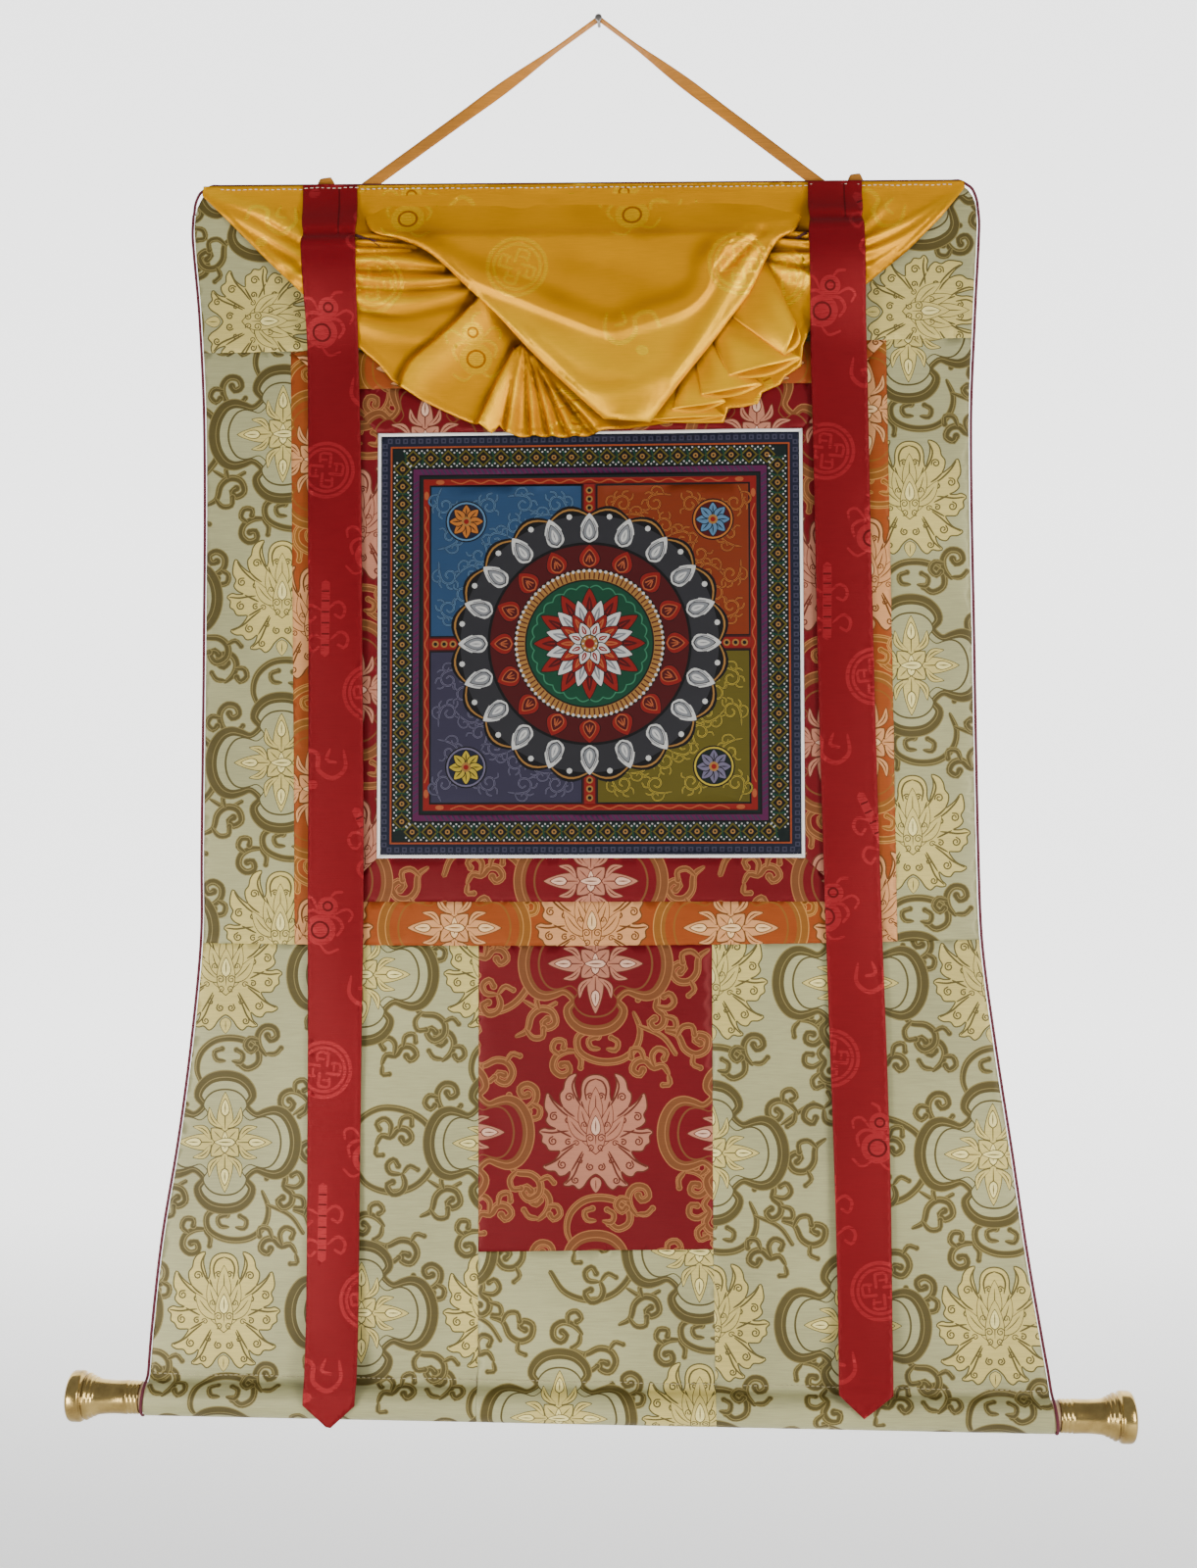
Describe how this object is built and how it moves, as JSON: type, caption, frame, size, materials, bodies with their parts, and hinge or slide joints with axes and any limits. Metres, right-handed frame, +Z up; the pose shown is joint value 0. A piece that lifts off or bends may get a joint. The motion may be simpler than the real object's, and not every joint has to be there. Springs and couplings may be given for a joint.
{
  "type": "thangka scroll painting on a wall nail",
  "caption": "Brocade-mounted scroll painting with a gathered yellow veil, red ribbons and a dowel with brass knobs in its hem, hung by a tape from a nail.",
  "frame": {"origin": "the foot of the nail, on the wall behind the scroll", "axes": "+X to the right as seen from the front, +Y into the wall, +Z up; the painted front faces -Y"},
  "size_m": [0.9487, 0.0465, 1.2841],
  "materials": {
    "pale_brocade": "sage silk brocade with olive and pale gold lotus scrolls",
    "orange_brocade": "burnt orange silk brocade with bronze scrolls",
    "red_brocade": "crimson silk brocade with bronze scrolls",
    "painted_canvas": "canvas painted in mineral colours, matte",
    "white_cotton": "plain white cotton cord",
    "crimson_piping": "dark crimson cotton cord and lining",
    "ribbon_silk": "red silk damask, satin sheen",
    "veil_silk": "golden yellow silk damask, bright satin sheen",
    "gold_tape": "woven gold cotton tape",
    "dowel_wood": "turned hardwood, waxed",
    "knob_brass": "turned brass, lightly tarnished",
    "nail_steel": "plain wire nail, dull"
  },
  "bodies": {
    "root": {"nail": "nail_steel", "hanging_tape": "gold_tape", "tape_fold_left": "gold_tape", "tape_fold_right": "gold_tape", "top_panel": "pale_brocade", "left_strip": "pale_brocade", "right_strip": "pale_brocade", "orange_border_top": "orange_brocade", "orange_border_bottom": "orange_brocade", "orange_border_left": "orange_brocade", "orange_border_right": "orange_brocade", "red_border_top": "red_brocade", "red_border_bottom": "red_brocade", "red_border_left": "red_brocade", "red_border_right": "red_brocade", "cotton_piping_top": "white_cotton", "cotton_piping_bottom": "white_cotton", "cotton_piping_left": "white_cotton", "cotton_piping_right": "white_cotton", "painting": "painted_canvas", "door_panel": "red_brocade", "foot_panel": "pale_brocade", "lower_left_panel": "pale_brocade", "lower_right_panel": "pale_brocade", "edge_piping_left": "crimson_piping", "edge_piping_right": "crimson_piping", "edge_piping_top": "crimson_piping", "dowel": "dowel_wood", "knob_left": "knob_brass", "knob_right": "knob_brass", "ribbon_left": "ribbon_silk", "ribbon_right": "ribbon_silk", "veil": "veil_silk", "veil_tie_left": "crimson_piping", "veil_tie_right": "crimson_piping"}
  },
  "joints": []
}
